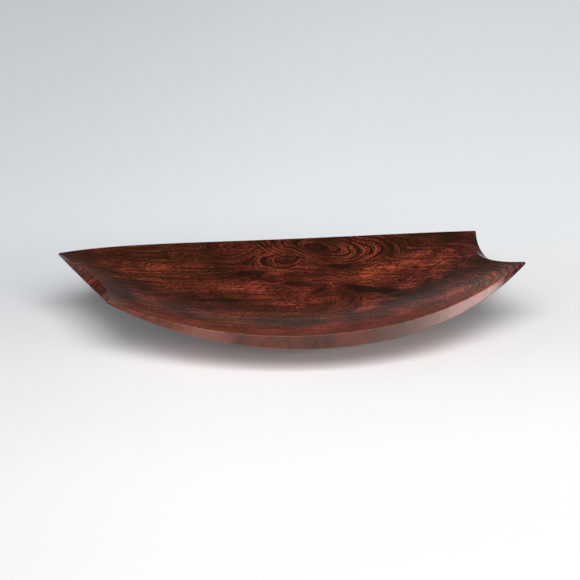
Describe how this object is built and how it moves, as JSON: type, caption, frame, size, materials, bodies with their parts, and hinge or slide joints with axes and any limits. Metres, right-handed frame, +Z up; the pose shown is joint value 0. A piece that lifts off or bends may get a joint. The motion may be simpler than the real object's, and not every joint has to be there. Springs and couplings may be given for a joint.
{
  "type": "wooden dish",
  "caption": "Shallow boat-shaped wooden serving dish hollowed from one plank, with upswept pointed corners, a concave bite at each end and a broad cut facet round the rim.",
  "frame": {"origin": "on the resting surface, under the middle of the dish", "axes": "+X along the dish towards its right end, where the front corner is the high horn and the back corner the low horn; +Y to the back; +Z up"},
  "size_m": [0.522, 0.3144, 0.088],
  "materials": {
    "figured_hardwood": "satin"
  },
  "bodies": {
    "root": {"dish": "figured_hardwood"}
  },
  "joints": []
}
